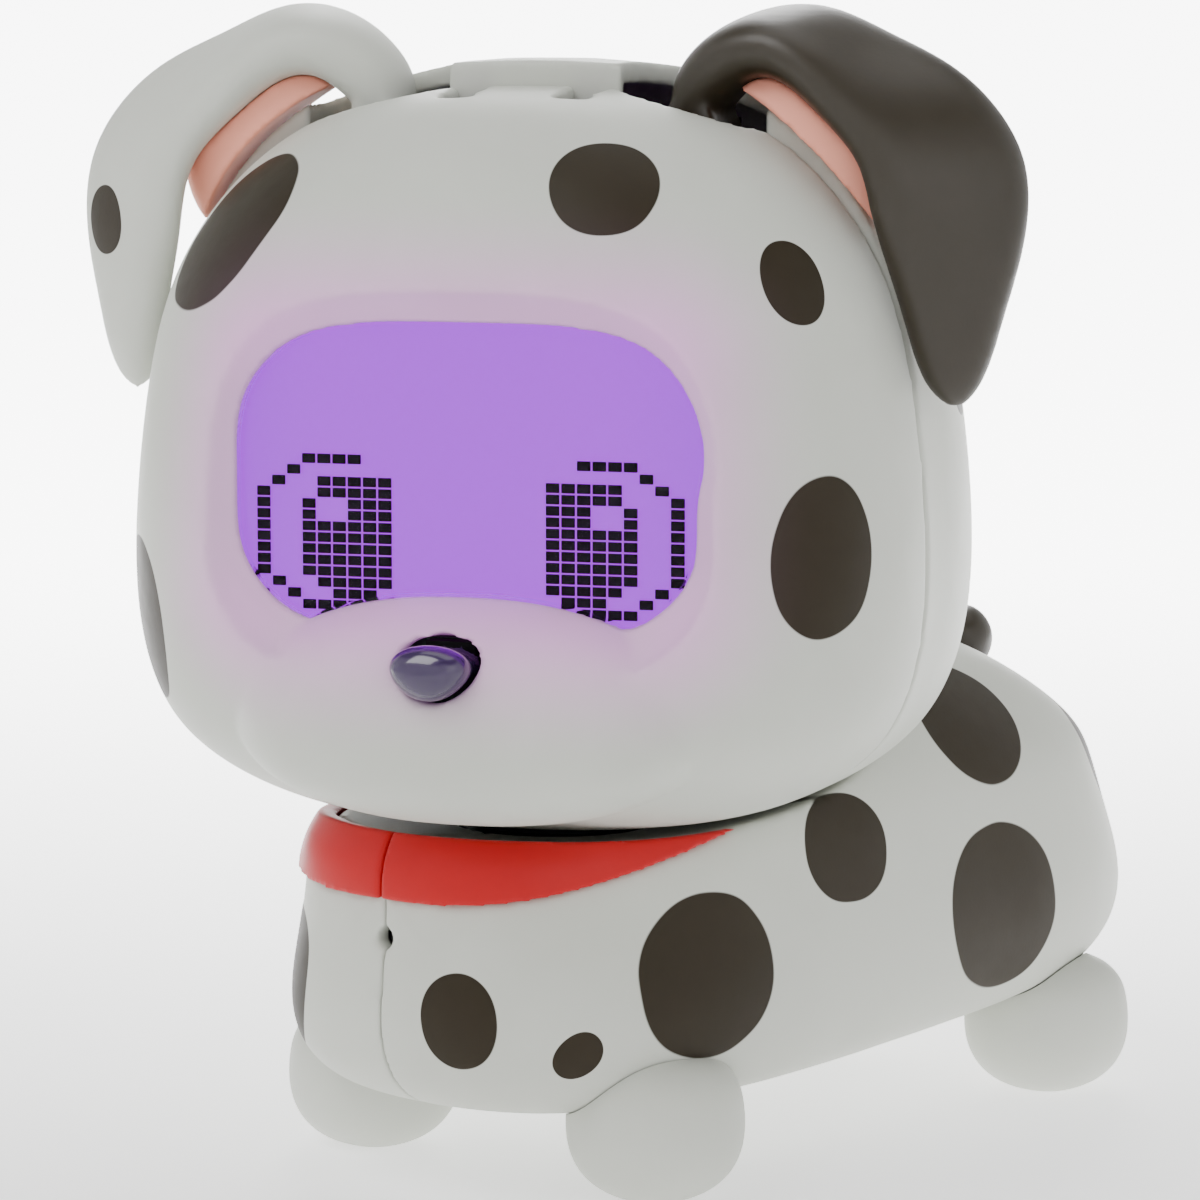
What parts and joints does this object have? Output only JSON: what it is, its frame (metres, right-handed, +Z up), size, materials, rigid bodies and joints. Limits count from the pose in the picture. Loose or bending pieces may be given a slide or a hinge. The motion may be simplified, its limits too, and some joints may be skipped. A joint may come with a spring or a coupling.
{
  "type": "robot dog toy",
  "caption": "Tabletop electronic puppy with a lit screen face, turning head, lifting ears, press-in nose, wagging tail, domed feet and a battery hatch.",
  "frame": {"origin": "on the resting surface, in the middle of the whole toy's footprint with the head at its rest turn", "axes": "+Z up, the body faces -Y, the dog's left side is +X; the head is turned 23 degrees to the dog's left at rest"},
  "size_m": [0.096, 0.1238, 0.1237],
  "materials": {
    "shell_grey": "warm light grey moulded shell with printed dark brown spots",
    "ear_dark": "dark brown satin plastic",
    "collar_red": "red satin paint",
    "lining_pink": "pink satin plastic",
    "nose_plum": "glossy dark plum",
    "window_clear": "clear glossy cover",
    "lcd_lit": "back-lit display glass",
    "diffuser": "translucent white light guide",
    "frame_black": "black inner moulding",
    "board_green": "green circuit board",
    "chip_black": "black component cases",
    "led_white": "yellow-white lamp bodies",
    "steel": "zinc plated steel",
    "spring_steel": "nickel plated contact steel",
    "cell_wrap": "plain dark cell sleeve",
    "lead_red": "insulated lead",
    "cone_paper": "black paper cone",
    "sensor_clear": "dark clear sensor lens",
    "knob_black": "black slide knob"
  },
  "bodies": {
    "body": {"body_shell_left": "shell_grey", "body_shell_right": "shell_grey", "collar_left": "collar_red", "collar_right": "collar_red", "foot_front_left": "shell_grey", "foot_front_right": "shell_grey", "foot_rear_left": "shell_grey", "foot_rear_right": "shell_grey", "foot_screws": "steel", "body_screws": "steel", "chest_sensor": "sensor_clear", "battery_box": "frame_black", "battery_a": "cell_wrap", "battery_b": "cell_wrap", "battery_c": "cell_wrap", "contact_plates": "spring_steel", "contact_springs": "spring_steel", "switch_housing": "frame_black", "main_board": "board_green", "board_chips": "chip_black", "battery_leads": "lead_red", "tail_pin": "steel", "tail_bracket": "frame_black", "neck_seat": "frame_black", "neck_washer": "spring_steel", "neck_cable": "frame_black"},
    "head": {"head_front_shell": "shell_grey", "head_rear_shell": "shell_grey", "head_screws": "steel", "screen_window": "window_clear", "lcd_panel": "lcd_lit", "light_guide": "diffuser", "led_board": "board_green", "leds": "led_white", "screen_frame": "frame_black", "head_board": "board_green", "head_chips": "chip_black", "nose_board": "board_green", "nose_switch": "frame_black", "speaker_frame": "frame_black", "speaker_magnet": "steel", "speaker_cone": "cone_paper", "speaker_bracket": "frame_black", "neck_spindle": "frame_black", "neck_retainer": "steel", "neck_screws": "steel", "cable_socket": "frame_black", "ear_pin_left": "steel", "ear_pin_right": "steel", "ear_bracket_left": "frame_black", "ear_bracket_right": "frame_black"},
    "nose": {"nose_button": "nose_plum"},
    "left_ear": {"ear_left": "ear_dark", "inner_ear_left": "lining_pink"},
    "right_ear": {"ear_right": "shell_grey", "inner_ear_right": "lining_pink"},
    "tail": {"tail": "ear_dark"},
    "switch_knob": {"power_switch": "knob_black"},
    "hatch": {"battery_door": "shell_grey", "door_screw": "steel"}
  },
  "joints": [
    {"name": "head_turn", "type": "hinge", "parent": "body", "child": "head", "pos_m": [-0.00122, -0.02037, 0.04], "axis": [0, 0, 1], "range_deg": [-68, 22]},
    {"name": "left_ear_lift", "type": "hinge", "parent": "head", "child": "left_ear", "pos_m": [0.01599, -0.01741, 0.1102], "axis": [0.3907, -0.9205, 0], "range_deg": [0, 24]},
    {"name": "right_ear_lift", "type": "hinge", "parent": "head", "child": "right_ear", "pos_m": [-0.01531, -0.03069, 0.1102], "axis": [-0.3907, 0.9205, 0], "range_deg": [0, 24]},
    {"name": "nose_press", "type": "slide", "parent": "head", "child": "nose", "axis": [-0.3907, 0.9205, 0], "range_m": [0, 0.001], "stiffness_N_per_m": 800, "springref_m": -0.0005},
    {"name": "tail_wag", "type": "hinge", "parent": "body", "child": "tail", "pos_m": [-0.00122, 0.04494, 0.04009], "axis": [0, -0.0436, 0.999], "range_deg": [-14, 14]},
    {"name": "power_slide", "type": "slide", "parent": "body", "child": "switch_knob", "axis": [1, 0, 0], "range_m": [-0.003, 0]},
    {"name": "hatch_lift", "type": "slide", "parent": "body", "child": "hatch", "axis": [0, 0.0436, -0.999], "range_m": [0, 0.006]}
  ]
}
